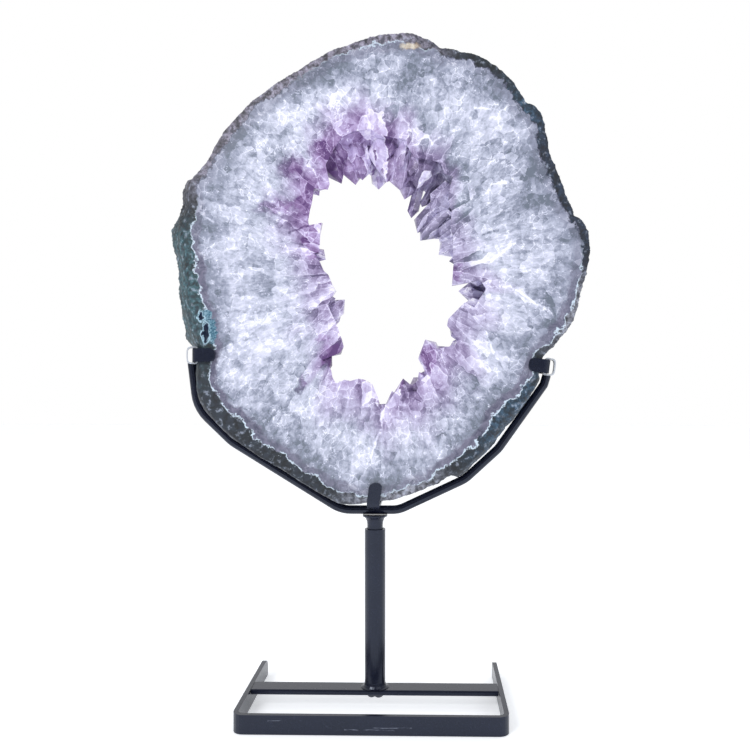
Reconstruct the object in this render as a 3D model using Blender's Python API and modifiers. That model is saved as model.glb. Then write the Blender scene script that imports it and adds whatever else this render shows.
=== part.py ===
"""Amethyst agate slice with a crystal-lined opening, standing in a turning steel cradle.

Metres, +Z up. The cut front face looks towards -Y and +X is to the viewer's right.
The origin lies on the table, under the middle of the whole object.
"""
import math
import random

import bmesh
import bpy
import numpy as np
from mathutils import Matrix, Vector, noise

MM = 0.001
GAP = 0.3 * MM

# Base: a bar bent to a U that is open at the back, a crossbar and a tube for a post
BASE_WIDTH = 163.5 * MM
BASE_DEPTH = 95.6 * MM
BAR_HEIGHT = 11.4 * MM
BAR_THICK = 3 * MM
BASE_BEND = 5 * MM
ARM_END_ROUND = 6 * MM
POST_Y = -2.3 * MM
CROSSBAR_DEPTH = 14 * MM
CROSSBAR_THICK = 3.4 * MM
CROSSBAR_EDGE = 0.9 * MM
# Blobs of weld under the crossbar: place from the post's axis and radius in mm, and how flat they are
WELD_BEADS = (((-2, -2.5), 3.2), ((2.4, -2), 3.6), ((0.4, 2.4), 3.0))
BEAD_FLATNESS = 0.8
TUBE_RADIUS = 6.6 * MM
TUBE_BORE = 5.35 * MM
TUBE_TOP = 112.6 * MM
WELD_RADIUS = 8.8 * MM
WELD_HEIGHT = 3.6 * MM

# Cradle: a bent round rod on a pin that turns in the tube
PIN_RADIUS = 5 * MM
PIN_TOP = 121.6 * MM
PIN_COLLAR = 7.9 * MM
COLLAR_LIP = 0.9 * MM
COLLAR_BOTTOM = 115.2 * MM
ROD_RADIUS = 2.8 * MM
ROD_BOTTOM_Z = 124.7 * MM
# Corners of the rod's centre line in the XZ plane, left to right, each with its bend radius
ROD_CORNERS = (
    ((-118.2, 219), 0),
    ((-114.7, 189.8), 26),
    ((-92.2, 168.2), 24),
    ((-21.7, 124.7), 22),
    ((15.2, 124.7), 18),
    ((57.7, 144.6), 20),
    ((78.9, 164), 20),
    ((107.9, 204.9), 3),
    ((109.7, 211), 0),
)

# Clips: U-shaped straps that hold the slice's edge from the front and the back
STRAP_WIDTH = 8.4 * MM
STRAP_THICK = 2.2 * MM
STRAP_BEND = 2.6 * MM
STRAP_END_ROUND = 3 * MM
STRAP_CLEARANCE = 0.6 * MM
HOOK_WIDTH = 8 * MM
HOOK_TOP_FRONT = 144 * MM
HOOK_TOP_BACK = 140 * MM
HOOK_LEAN = math.radians(7)
# Side clips: name, which end of the rod, shift of the web off that end in mm, its lean seen from above
# and its tilt seen from the front in degrees, and how far the tabs reach in mm
CLIPS = (("left", 0, (1.4, 0), 17, 0, 12.8), ("right", -1, (-0.2, 0.6), 5, 7, 12))
# Sleeves: wall, room inside towards the stone, away from it and above the strap, and where they
# start and end from the post's plane
SLEEVE_WALL = 0.8 * MM
SLEEVE_INNER = 1.5 * MM
SLEEVE_OUTER = 4 * MM
SLEEVE_SLACK = 0.5 * MM
SLEEVE_SPAN = (-14.4 * MM, -3.4 * MM)

# Slice: a slab with flat cut faces and a rough skin
SLAB_THICK = 32 * MM
FRONT_Y = POST_Y - SLAB_THICK / 2
BACK_Y = POST_Y + SLAB_THICK / 2
CENTER = (6.0, 275.0)
SEGMENTS = 128
# Outline of the front cut face in mm, clockwise from the top as seen from the front
SLICE_OUTLINE = (
    (-2, 421), (12, 423.5), (28, 422), (43, 414), (50, 413), (67, 408), (82, 398), (93, 383), (104, 373),
    (108, 353), (115, 334), (124, 312), (131, 304), (134, 291), (133, 280), (128, 261), (124, 246),
    (117, 236), (110.5, 228), (105, 222), (103.5, 216), (101, 208), (96, 199), (80, 183), (65, 162),
    (44, 147), (26, 138), (7, 133), (-15, 131.6), (-33, 138), (-54, 151), (-76, 164), (-95, 179),
    (-106, 195), (-109, 206), (-107.5, 217), (-106.5, 228), (-109, 237), (-111, 247), (-115, 259), (-116, 286),
    (-118, 298), (-114, 314), (-115, 330), (-108, 338), (-99, 354), (-90, 367), (-73, 384), (-49, 400),
    (-28, 412),
)
# How far the left skin stands out at the back beyond the front edge, against height in mm
LEFT_FLARE = ((219, 8), (229, 9), (232, 13), (239, 17), (259, 15), (282, 15), (300, 19), (310, 17), (326, 12),
              (338, 6), (349, 0))
SKIN_ROWS = (0, 0.06, 0.22, 0.42, 0.62, 0.82, 0.94, 1)
SKIN_BULGE = 1.4
SKIN_ROUGHNESS = 1.3
SKIN_GRAIN = 11
CLIP_RELIEF = 13
# The hollow where slab and crust meet, at the front face and at the back face
HOLLOW_FRONT = (
    (-5, 368), (12, 365), (28, 356), (46, 352), (57, 338), (56, 315), (57, 297), (63, 283), (76, 274),
    (77, 261), (70, 245), (58, 227), (44, 219), (38, 205), (22, 193), (8, 185), (-6, 193), (-22, 197),
    (-36, 205), (-43, 219), (-34, 240), (-36, 259), (-44, 277), (-54, 289), (-67, 301), (-62, 322),
    (-56, 343), (-38, 356), (-20, 364),
)
HOLLOW_BACK = (
    (-5, 352), (15, 347), (32, 337), (42, 322), (48, 305), (60, 289), (72, 265), (68, 243), (56, 225),
    (40, 213), (30, 199), (8, 183), (-14, 195), (-36, 202), (-44, 221), (-36, 240), (-42, 265),
    (-50, 287), (-58, 309), (-54, 331), (-36, 345),
)
# How far the crystal points reach, at the front face and farther in
FRONT_REACH = (
    (-18, 355), (-3, 361), (9, 357), (23, 348), (41, 344), (49, 334), (47, 315), (49, 295), (51, 277),
    (64, 270), (69, 264), (63, 249), (54, 235), (39, 228), (35, 214), (28, 205), (17, 201), (9, 194),
    (2, 199), (-8, 209), (-24, 205), (-30, 216), (-21, 230), (-24, 249), (-26, 262), (-32, 276),
    (-38, 288), (-54, 301), (-52, 320), (-49, 339), (-33, 346),
)
INNER_REACH = (
    (-3, 338), (3, 331), (12, 334), (22, 322), (24, 310), (32, 298), (49, 281), (50, 267), (62, 254),
    (46, 243), (52, 235), (31, 233), (28, 217), (15, 209), (6, 194), (-9, 209), (-26, 206), (-32, 222),
    (-20, 230), (-24, 249), (-20, 260), (-26, 267), (-33, 280), (-31, 288), (-36, 292), (-34, 310),
    (-43, 309), (-37, 327), (-29, 333), (-14, 336),
)
CRUST_WALL = 4.5
# How far the crust stands past both faces before it is cut flush
CRUST_OVER = 1.5 * MM
# Rows of crystals: how deep they stand, how many go round and how thick they are in mm
CRYSTAL_ROWS = ((0.08, 28, 8.6), (0.5, 30, 7.6), (0.92, 26, 8.2))
# Share of the slab's depth over which the reach goes from the front edge's to the inner one
FRONT_SHARE = 0.3
CRYSTAL_SEED = 11
POINT_STEEPNESS = 1.15


def clear_scene():
    for obj in list(bpy.data.objects):
        bpy.data.objects.remove(obj, do_unlink=True)


def material(name, color, roughness, metallic=0.0):
    mat = bpy.data.materials.new(name)
    mat.use_nodes = True
    shader = mat.node_tree.nodes["Principled BSDF"]
    shader.inputs["Base Color"].default_value = (*color, 1)
    shader.inputs["Roughness"].default_value = roughness
    shader.inputs["Metallic"].default_value = metallic
    return mat


def new_collection(name):
    collection = bpy.data.collections.new(name)
    bpy.context.scene.collection.children.link(collection)
    return collection


def add_object(name, mesh, mat, collection, smooth_angle=None):
    obj = bpy.data.objects.new(name, mesh)
    mesh.materials.clear()
    mesh.materials.append(mat)
    if smooth_angle is not None:
        mesh.shade_smooth()
        mesh.set_sharp_from_angle(angle=math.radians(smooth_angle))
    collection.objects.link(obj)
    return obj


def mesh_from_curve(curve):
    """The welded mesh of a curve data block, which is then deleted."""
    holder = bpy.data.objects.new(curve.name, curve)
    bpy.context.scene.collection.objects.link(holder)
    bpy.context.view_layer.update()
    evaluated = holder.evaluated_get(bpy.context.evaluated_depsgraph_get())
    mesh = bpy.data.meshes.new_from_object(evaluated)
    bpy.data.objects.remove(holder, do_unlink=True)
    bm = bmesh.new()
    bm.from_mesh(mesh)
    bmesh.ops.remove_doubles(bm, verts=bm.verts, dist=0.00001)
    bmesh.ops.recalc_face_normals(bm, faces=bm.faces)
    bm.to_mesh(mesh)
    bm.free()
    return mesh


def rounded_path(corners, steps=5):
    """Points of a path of 2D corners, each given with a bend radius, with an arc at each bend."""
    points = []
    for i, (corner, radius) in enumerate(corners):
        here = Vector(corner)
        if radius == 0:
            points.append(here)
            continue
        back = (Vector(corners[i - 1][0]) - here).normalized()
        ahead = (Vector(corners[i + 1][0]) - here).normalized()
        half = back.angle(ahead) / 2
        middle = here + (back + ahead).normalized() * radius / math.sin(half)
        start = here + back * radius / math.tan(half) - middle
        turn = start.angle_signed(here + ahead * radius / math.tan(half) - middle)
        for k in range(steps + 1):
            points.append(middle + Matrix.Rotation(-turn * k / steps, 2) @ start)
    return points


def band_outline(path, thickness):
    """Closed outline of a band of even thickness along a 2D path."""
    sides = ([], [])
    for i, point in enumerate(path):
        before = (point - path[i - 1]).normalized() if i else None
        after = (path[i + 1] - point).normalized() if i < len(path) - 1 else None
        along = ((before or after) + (after or before)).normalized()
        stretch = 1 / max(along.dot(after or before), 0.5)
        across = Vector((-along.y, along.x)) * thickness / 2 * stretch
        sides[0].append(point + across)
        sides[1].append(point - across)
    return sides[0] + sides[1][::-1]


def plate_mesh(name, outlines, width):
    """A flat plate of the given closed 2D outlines, a second one being a hole, and of this width in Z."""
    curve = bpy.data.curves.new(name, "CURVE")
    curve.dimensions = "2D"
    curve.fill_mode = "BOTH"
    curve.extrude = width / 2
    for outline in outlines:
        spline = curve.splines.new("POLY")
        spline.points.add(len(outline) - 1)
        for target, point in zip(spline.points, outline):
            target.co = (point[0], point[1], 0, 1)
        spline.use_cyclic_u = True
    return mesh_from_curve(curve)


def bevel_edges(mesh, chosen, width, segments):
    """Rounds the edges for which chosen(first end, second end) is true."""
    bm = bmesh.new()
    bm.from_mesh(mesh)
    edges = [e for e in bm.edges if chosen(e.verts[0].co, e.verts[1].co)]
    bmesh.ops.bevel(bm, geom=edges, offset=width, segments=segments, profile=0.5, affect="EDGES")
    bm.to_mesh(mesh)
    bm.free()


def bent_strap(name, corners, thickness, width, end_round, round_sides):
    """A strap bent along 2D corners, width in Z, with its ends rounded off towards the given sides of Z."""
    path = rounded_path(corners)
    mesh = plate_mesh(name, [band_outline(path, thickness)], width)

    def at_end(first, second):
        for end in (path[0], path[-1]):
            near = all((v.to_2d() - end).length < thickness for v in (first, second))
            flat = abs(first.z - second.z) < 1e-6 and (first - second).length > thickness * 0.9
            if near and flat and (first - second).length < thickness * 1.2:
                return round_sides == "both" or first.z > 0
        return False

    bevel_edges(mesh, at_end, end_round, 4)
    return mesh


def turned(name, profile, mat, collection, steps=32):
    """A body turned about Z from (radius, height) points."""
    bm = bmesh.new()
    verts = [bm.verts.new((r, 0, z)) for r, z in profile]
    for a, b in zip(verts, verts[1:]):
        bm.edges.new((a, b))
    if profile[0][0] > 0:
        bm.edges.new((verts[-1], verts[0]))
    mesh = bpy.data.meshes.new(name)
    bm.to_mesh(mesh)
    bm.free()
    obj = add_object(name, mesh, mat, collection)
    screw = obj.modifiers.new("Turn", "SCREW")
    screw.steps = steps
    screw.render_steps = steps
    screw.use_merge_vertices = True
    screw.merge_threshold = 0.00001
    return obj


def arc_profile(start, end, steps, hollow):
    """Points from start to end on a quarter arc that is hollow seen from outside, or domed."""
    points = []
    for k in range(steps + 1):
        t = math.pi / 2 * k / steps
        across, down = (1 - math.cos(t), math.sin(t)) if hollow else (math.sin(t), 1 - math.cos(t))
        points.append((start[0] + (end[0] - start[0]) * across, start[1] + (end[1] - start[1]) * down))
    return points


def base_frame(mat, collection):
    side = (BASE_WIDTH - BAR_THICK) / 2
    front = -(BASE_DEPTH - BAR_THICK) / 2
    back = BASE_DEPTH / 2
    corners = (((-side, back), 0), ((-side, front), BASE_BEND), ((side, front), BASE_BEND), ((side, back), 0))
    mesh = bent_strap("base_frame", corners, BAR_THICK, BAR_HEIGHT, ARM_END_ROUND, "top")
    obj = add_object("base_frame", mesh, mat, collection, 35)
    obj.location.z = BAR_HEIGHT / 2


def crossbar(mat, collection, cutters):
    """Lies flat between the arms, flush with their tops, with blobs of weld under the post."""
    length = BASE_WIDTH - 2 * BAR_THICK - 2 * GAP
    bm = bmesh.new()
    bmesh.ops.create_cube(bm, size=1)
    bmesh.ops.scale(bm, vec=(length, CROSSBAR_DEPTH, CROSSBAR_THICK), verts=bm.verts)
    long_edges = [e for e in bm.edges if abs(e.verts[0].co.x - e.verts[1].co.x) > length / 2]
    bmesh.ops.bevel(bm, geom=long_edges, offset=CROSSBAR_EDGE, segments=3, profile=0.5, affect="EDGES")
    mesh = bpy.data.meshes.new("crossbar")
    bm.to_mesh(mesh)
    bm.free()
    obj = add_object("crossbar", mesh, mat, collection, 35)
    obj.location = (0, POST_Y, BAR_HEIGHT - CROSSBAR_THICK / 2)
    for k, ((x, y), size) in enumerate(WELD_BEADS):
        bead = bmesh.new()
        bmesh.ops.create_uvsphere(bead, u_segments=12, v_segments=7, radius=size * MM)
        bead_mesh = bpy.data.meshes.new(f"weld_bead_{k}")
        bead.to_mesh(bead_mesh)
        bead.free()
        blob = add_object(f"weld_bead_{k}", bead_mesh, mat, cutters)
        blob.scale.z = BEAD_FLATNESS
        blob.location = (x * MM, POST_Y + y * MM, BAR_HEIGHT - CROSSBAR_THICK)
        boolean(obj, blob, "UNION", "EXACT")


def post_tube(mat, collection):
    foot = BAR_HEIGHT + GAP
    fillet = arc_profile((TUBE_RADIUS, foot + WELD_HEIGHT), (WELD_RADIUS, foot), 3, hollow=True)
    profile = [(TUBE_RADIUS, TUBE_TOP), *fillet, (TUBE_BORE, foot), (TUBE_BORE, TUBE_TOP)]
    obj = turned("post_tube", profile, mat, collection)
    obj.location.y = POST_Y


def cradle_pin(mat, collection):
    """The pin with the flared collar of weld that joins it to the rod."""
    foot = BAR_HEIGHT + GAP
    flare = arc_profile((PIN_COLLAR, PIN_TOP - COLLAR_LIP), (PIN_RADIUS, COLLAR_BOTTOM), 4, hollow=False)
    profile = [(0, PIN_TOP), (PIN_COLLAR, PIN_TOP), *flare, (PIN_RADIUS, foot), (0, foot)]
    obj = turned("cradle_pin", profile, mat, collection)
    obj.location.y = POST_Y


def cradle_rod(mat, collection):
    corners = [((x * MM, z * MM), radius * MM) for (x, z), radius in ROD_CORNERS]
    path = rounded_path(corners)
    curve = bpy.data.curves.new("cradle_rod", "CURVE")
    curve.dimensions = "3D"
    curve.bevel_depth = ROD_RADIUS
    curve.bevel_resolution = 4
    curve.use_fill_caps = True
    spline = curve.splines.new("POLY")
    spline.points.add(len(path) - 1)
    for target, point in zip(spline.points, path):
        target.co = (point.x, POST_Y, point.y, 1)
    add_object("cradle_rod", mesh_from_curve(curve), mat, collection, 50)


def center_hook(mat, collection):
    """A strap that lies on the rod and whose ends stand up in front of the slice and behind it."""
    front = FRONT_Y - STRAP_CLEARANCE - STRAP_THICK / 2
    back = BACK_Y + STRAP_CLEARANCE + STRAP_THICK / 2
    web = ROD_BOTTOM_Z + ROD_RADIUS + GAP + STRAP_THICK / 2
    corners = (((front, HOOK_TOP_FRONT), 0), ((front, web), STRAP_BEND), ((back, web), STRAP_BEND),
               ((back, HOOK_TOP_BACK), 0))
    mesh = bent_strap("center_hook", corners, STRAP_THICK, HOOK_WIDTH, STRAP_END_ROUND, "both")
    upright = Matrix(((0, 0, 1, 0), (1, 0, 0, 0), (0, 1, 0, 0), (0, 0, 0, 1)))
    mesh.transform(upright)
    for vertex in mesh.vertices:
        vertex.co.x += max(vertex.co.z - web - STRAP_THICK, 0) * math.tan(HOOK_LEAN)
    add_object("center_hook", mesh, mat, collection, 35)


def clip_layout():
    """Each side clip: its name, web point at the rod, plan lean of the web, tilt, tabs' length and side."""
    lift = STRAP_WIDTH / 2 + GAP
    layouts = []
    for side, end, (across, up), lean, tilt, tab in CLIPS:
        x, z = ROD_CORNERS[end][0]
        web = Vector(((x + across) * MM, POST_Y, (z + up) * MM + lift))
        layouts.append((side, web, math.radians(lean), math.radians(tilt), tab * MM, 1 if x > 0 else -1))
    return layouts


def side_clip(layout, mat, collection):
    side, web, lean, tilt, tab, sign = layout
    front = FRONT_Y - STRAP_CLEARANCE - STRAP_THICK / 2 - POST_Y
    back = BACK_Y + STRAP_CLEARANCE + STRAP_THICK / 2 - POST_Y
    slope = math.tan(lean) * sign
    bend_front, bend_back = (front * slope, front), (back * slope, back)
    corners = (((bend_front[0] - sign * tab, front), 0), (bend_front, STRAP_BEND), (bend_back, STRAP_BEND),
               ((bend_back[0] - sign * tab, back), 0))
    name = f"{side}_clip"
    mesh = bent_strap(name, corners, STRAP_THICK, STRAP_WIDTH, STRAP_END_ROUND, "both")
    obj = add_object(name, mesh, mat, collection, 35)
    obj.location = web
    obj.rotation_euler.y = tilt


def d_outline(inner, outer, half_height, points=20):
    """A flattened oval that reaches inner on one side and outer on the other."""
    outline = []
    for k in range(points):
        angle = 2 * math.pi * k / points
        across, up = math.cos(angle), math.sin(angle)
        reach = outer if across > 0 else inner
        outline.append((math.copysign(abs(across) ** 0.5, across) * reach,
                        math.copysign(abs(up) ** 0.5, up) * half_height))
    return outline


def clip_sleeve(layout, mat, collection):
    """Clear tube pushed over the clip's web, from the front bend to the rod."""
    side, web, lean, tilt, _, sign = layout
    start, end = SLEEVE_SPAN
    half_height = STRAP_WIDTH / 2 + SLEEVE_SLACK
    hole = d_outline(SLEEVE_INNER, SLEEVE_OUTER, half_height)
    skin = d_outline(SLEEVE_INNER + SLEEVE_WALL, SLEEVE_OUTER + SLEEVE_WALL, half_height + SLEEVE_WALL)
    name = f"{side}_clip_sleeve"
    mesh = plate_mesh(name, [skin, hole], (end - start) / math.cos(lean))
    along_web = Matrix.Rotation(-lean * sign, 4, "Z")
    stand = Matrix(((sign, 0, 0, 0), (0, 0, -sign, 0), (0, 1, 0, 0), (0, 0, 0, 1)))
    middle = (start + end) / 2
    shift = Matrix.Translation((middle * math.tan(lean) * sign, middle, 0))
    mesh.transform(shift @ along_web @ stand)
    obj = add_object(name, mesh, mat, collection, 40)
    obj.location = web
    obj.rotation_euler.y = tilt


def smooth_loop(points, steps=6):
    """A closed Catmull-Rom curve through the points."""
    points = np.array(points, float)
    a, b, c, d = (np.roll(points, shift, axis=0) for shift in (1, 0, -1, -2))
    curve = []
    for k in range(steps):
        t = k / steps
        curve.append(0.5 * (2 * b + (c - a) * t + (2 * a - 5 * b + 4 * c - d) * t ** 2
                            + (3 * b - a - 3 * c + d) * t ** 3))
    return np.stack(curve, axis=1).reshape(-1, 2)


def radii(outline, angles, smooth=True):
    """Distance in mm from the slice's centre to the outline at each angle."""
    points = smooth_loop(outline) if smooth else np.array(outline, float)
    offset = points - np.array(CENTER)
    angle = np.arctan2(offset[:, 1], offset[:, 0])
    return np.interp(angles, angle, np.hypot(offset[:, 0], offset[:, 1]), period=2 * math.pi)


def ring_points(radius, angles, y):
    """Points of a ring round the slice's centre, from radii in mm, at depth y in metres."""
    return [Vector(((CENTER[0] + r * math.cos(a)) * MM, y, (CENTER[1] + r * math.sin(a)) * MM))
            for r, a in zip(radius, angles)]


def loft(name, rings, closed):
    """Skins rings of equal length. A closed loft joins the last ring to the first, an open one has caps."""
    bm = bmesh.new()
    rows = [[bm.verts.new(point) for point in ring] for ring in rings]
    count = len(rows[0])
    pairs = list(zip(rows, rows[1:])) + ([(rows[-1], rows[0])] if closed else [])
    for low, high in pairs:
        for i in range(count):
            j = (i + 1) % count
            bm.faces.new((low[i], low[j], high[j]))
            bm.faces.new((low[i], high[j], high[i]))
    if not closed:
        bm.faces.new(rows[0])
        bm.faces.new(rows[-1])
    bmesh.ops.recalc_face_normals(bm, faces=bm.faces)
    mesh = bpy.data.meshes.new(name)
    bm.to_mesh(mesh)
    bm.free()
    return mesh


def skin_radius(angles, depth):
    """Radius in mm of the rough skin at a depth from 0 at the front face to 1 at the back face."""
    clips = [(layout[1].x / MM, layout[1].z / MM) for layout in clip_layout()]
    clips.append((0.0, (ROD_BOTTOM_Z + ROD_RADIUS + STRAP_THICK) / MM))
    heights, flares = zip(*LEFT_FLARE)
    result = []
    for angle, radius in zip(angles, radii(SLICE_OUTLINE, angles)):
        x, z = CENTER[0] + radius * math.cos(angle), CENTER[1] + radius * math.sin(angle)
        flare = float(np.interp(z, heights, flares, left=0)) if x < 0 else 0.0
        nearest = min(math.dist((x, z), clip) for clip in clips)
        free = min(1.0, max(0.0, nearest / CLIP_RELIEF - 0.45) * 1.8)
        rough = noise.noise(Vector((x, depth * SLAB_THICK / MM, z)) / SKIN_GRAIN) * SKIN_ROUGHNESS
        bulge = SKIN_BULGE * math.sin(math.pi * depth) + rough * (0.5 + 0.5 * math.sin(math.pi * depth))
        result.append(radius + flare * depth ** 0.7 + bulge * free)
    return result


def agate_slice(mat, collection):
    angles = np.linspace(0, 2 * math.pi, SEGMENTS, endpoint=False)
    rings = [ring_points(radii(HOLLOW_FRONT, angles), angles, FRONT_Y)]
    for depth in SKIN_ROWS:
        rings.append(ring_points(skin_radius(angles, depth), angles, FRONT_Y + depth * SLAB_THICK))
    rings.append(ring_points(radii(HOLLOW_BACK, angles), angles, BACK_Y))
    add_object("agate_slice", loft("agate_slice", rings, closed=True), mat, collection)


def crystal(base, tip, radius, twist):
    """A six-sided crystal with a six-sided point."""
    length = (tip - base).length
    point = min(radius * POINT_STEEPNESS, length * 0.7)
    bm = bmesh.new()
    bmesh.ops.create_cone(bm, cap_ends=True, segments=6, radius1=radius * 0.92, radius2=radius,
                          depth=length - point)
    bmesh.ops.translate(bm, verts=bm.verts, vec=(0, 0, (length - point) / 2))
    top = max(bm.faces, key=lambda face: face.calc_center_median().z)
    bmesh.ops.poke(bm, faces=[top], offset=point)
    facing = (tip - base).to_track_quat("Z", "Y").to_matrix().to_4x4()
    bm.transform(Matrix.Translation(base) @ facing @ Matrix.Rotation(twist, 4, "Z"))
    return bm


def crystal_rows():
    """Base, tip, radius and twist of each crystal, in three sets a row that don't touch within a set."""
    rng = random.Random(CRYSTAL_SEED)
    sets = []
    for row, (depth, count, thick) in enumerate(CRYSTAL_ROWS):
        angles = [2 * math.pi * (k + 0.5 * (row % 2) + rng.uniform(-0.18, 0.18)) / count for k in range(count)]
        wall = (1 - depth) * radii(HOLLOW_FRONT, angles) + depth * radii(HOLLOW_BACK, angles)
        front, inner = radii(FRONT_REACH, angles, False), radii(INNER_REACH, angles, False)
        share = min(depth / FRONT_SHARE, 1)
        reach = (1 - share) * front + share * inner
        y = FRONT_Y + depth * SLAB_THICK
        row_sets = ([], [], [])
        for k, angle in enumerate(angles):
            start, stop = ring_points((wall[k] - 1, reach[k] + rng.uniform(0, 2.5)), (angle, angle), y)
            stop.y += rng.uniform(-2.5, 2.5) * MM
            aside = Vector((-math.sin(angle), 0, math.cos(angle))) * rng.uniform(-3, 3) * MM
            size = thick * rng.uniform(0.8, 1.15) * MM
            row_sets[k % 3].append((start, stop + aside, size, rng.uniform(0, math.pi / 3)))
        sets.extend(row_sets)
    return sets


def amethyst_crust(mat, collection, cutters):
    """The crystals that line the hollow, grown together and cut flush with both faces of the slab."""
    angles = np.linspace(0, 2 * math.pi, SEGMENTS, endpoint=False)
    wall_front, wall_back = radii(HOLLOW_FRONT, angles), radii(HOLLOW_BACK, angles)
    few = angles[::2]
    outer_front, outer_back = radii(HOLLOW_FRONT, few) + 1, radii(HOLLOW_BACK, few) + 1
    rings = [
        ring_points(outer_front, few, FRONT_Y - CRUST_OVER),
        ring_points(outer_back, few, BACK_Y + CRUST_OVER),
        ring_points(outer_back - CRUST_WALL - 1, few, BACK_Y + CRUST_OVER),
        ring_points(outer_front - CRUST_WALL - 1, few, FRONT_Y - CRUST_OVER),
    ]
    crust = add_object("amethyst_crust", loft("amethyst_crust", rings, closed=True), mat, collection)
    for k, group in enumerate(crystal_rows()):
        joined = bmesh.new()
        for base, tip, radius, twist in group:
            one = crystal(base, tip, radius, twist)
            piece = bpy.data.meshes.new("crystal")
            one.to_mesh(piece)
            one.free()
            joined.from_mesh(piece)
            bpy.data.meshes.remove(piece)
        mesh = bpy.data.meshes.new(f"crystals_{k}")
        joined.to_mesh(mesh)
        joined.free()
        boolean(crust, add_object(f"crystals_{k}", mesh, mat, cutters), "UNION")
    gap = GAP / MM
    plug = loft("crust_limit", [ring_points(wall_back - gap, angles, BACK_Y),
                                ring_points(wall_front - gap, angles, FRONT_Y)], closed=False)
    boolean(crust, add_object("crust_limit", plug, mat, cutters), "INTERSECT")
    keep_largest_body(crust)


def boolean(target, cutter, operation, solver="MANIFOLD"):
    cutter.hide_render = True
    cutter.display_type = "WIRE"
    modifier = target.modifiers.new(cutter.name, "BOOLEAN")
    modifier.operation = operation
    modifier.solver = solver
    modifier.object = cutter


def keep_largest_body(obj):
    """Applies the Booleans and drops the slivers and sealed pockets that they leave."""
    bpy.context.view_layer.update()
    evaluated = obj.evaluated_get(bpy.context.evaluated_depsgraph_get())
    mesh = bpy.data.meshes.new_from_object(evaluated)
    obj.modifiers.clear()
    bm = bmesh.new()
    bm.from_mesh(mesh)
    left = set(bm.faces)
    bodies = []
    while left:
        body, front = set(), [left.pop()]
        while front:
            face = front.pop()
            body.add(face)
            for edge in face.edges:
                for neighbour in edge.link_faces:
                    if neighbour in left:
                        left.remove(neighbour)
                        front.append(neighbour)
        bodies.append(body)
    bodies.sort(key=len)
    for body in bodies[:-1]:
        bmesh.ops.delete(bm, geom=list(body), context="FACES")
    bm.to_mesh(mesh)
    bm.free()
    obj.data = mesh


def main():
    clear_scene()
    collection = new_collection("agate_slice_on_stand")
    cutters = new_collection("cutters")
    steel = material("painted_steel", (0.035, 0.037, 0.05), 0.45)
    vinyl = material("clear_vinyl", (0.85, 0.88, 0.9), 0.2)
    quartz = material("banded_quartz", (0.62, 0.62, 0.7), 0.3)
    amethyst = material("amethyst", (0.4, 0.3, 0.55), 0.15)
    base_frame(steel, collection)
    crossbar(steel, collection, cutters)
    post_tube(steel, collection)
    cradle_pin(steel, collection)
    cradle_rod(steel, collection)
    center_hook(steel, collection)
    for layout in clip_layout():
        side_clip(layout, steel, collection)
        clip_sleeve(layout, vinyl, collection)
    agate_slice(quartz, collection)
    amethyst_crust(amethyst, collection, cutters)


main()
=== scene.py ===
"""Looks of an amethyst agate slice in a turning steel cradle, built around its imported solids.

Metres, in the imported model's frame: +Z up, the polished front face towards -Y. Shaders work in mm.
"""
import math
import random

import bmesh
import bpy
import numpy as np
from mathutils import Matrix, Vector, noise
from mathutils.bvhtree import BVHTree


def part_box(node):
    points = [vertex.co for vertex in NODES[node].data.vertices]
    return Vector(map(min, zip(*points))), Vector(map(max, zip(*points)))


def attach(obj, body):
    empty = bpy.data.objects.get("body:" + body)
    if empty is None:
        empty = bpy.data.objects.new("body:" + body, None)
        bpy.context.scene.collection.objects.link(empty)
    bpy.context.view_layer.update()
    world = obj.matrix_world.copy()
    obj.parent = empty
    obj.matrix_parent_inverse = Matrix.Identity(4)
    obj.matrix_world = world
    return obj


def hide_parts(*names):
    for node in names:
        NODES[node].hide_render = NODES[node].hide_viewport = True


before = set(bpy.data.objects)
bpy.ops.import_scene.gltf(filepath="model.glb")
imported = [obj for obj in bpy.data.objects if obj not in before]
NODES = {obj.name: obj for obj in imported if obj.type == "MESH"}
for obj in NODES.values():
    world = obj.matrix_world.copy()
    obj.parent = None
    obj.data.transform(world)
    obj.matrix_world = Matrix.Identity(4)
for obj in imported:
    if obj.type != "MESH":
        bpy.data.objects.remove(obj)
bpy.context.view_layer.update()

MM = 0.001
SLICE_LOW, SLICE_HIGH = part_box("agate_slice")
FRONT_Y, BACK_Y = SLICE_LOW.y, SLICE_HIGH.y
THICK = BACK_Y - FRONT_Y
POST_Y = (FRONT_Y + BACK_Y) / 2
# Middle of the slice in mm, round which its growth radiates
CENTER = (6.0, 275.0)
# Radii in the shaders' curves are fractions of this many mm
SPAN = 200.0

# Slab mesh: steps round the slice and across its skin, and rows across its faces, in mm from the rim
AROUND = 900
SKIN_STEPS = 24
RIM_ROWS = (0.0, 0.7, 1.5, 2.4, 3.4, 4.5, 5.7, 7.0, 8.5, 10.0, 12.0, 15.0)
BACK_ROWS = (0.0, 4.0, 12.0)
FACE_ROWS = 5
# Relief of the skin in mm at half depth and at its edges, and the sizes of its lumps and pits in mm
SKIN_RELIEF = 1.5
EDGE_RELIEF = 0.85
LUMP_SIZE = 9
PIT_SIZE = 3.2
# The skin is nearly smooth within so many mm of a clip's middle, and rough at CLIP_REACH mm more
CLIP_PAD = 4
CLIP_REACH = 14.0
LEAST_RELIEF = 0.15
# Share of its way to the rod that the skin swells, at angles in degrees anticlockwise from the right
SNUG_BELOW = ((-180, 0), (-160, 0), (-152, 1), (-98, 1), (-94, 0), (-72, 0.1), (-70, 1), (-67, 1),
              (-65, 0.82), (-52, 0.82), (-49, 1), (-41, 1), (-39, 0.7), (-34, 0.7), (-33, 0), (180, 0))
# Gap in mm that stays free between skin and rod, and the most that the skin swells
ROD_CLEARANCE = 0.4
MOST_SNUG = 6.0
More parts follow.
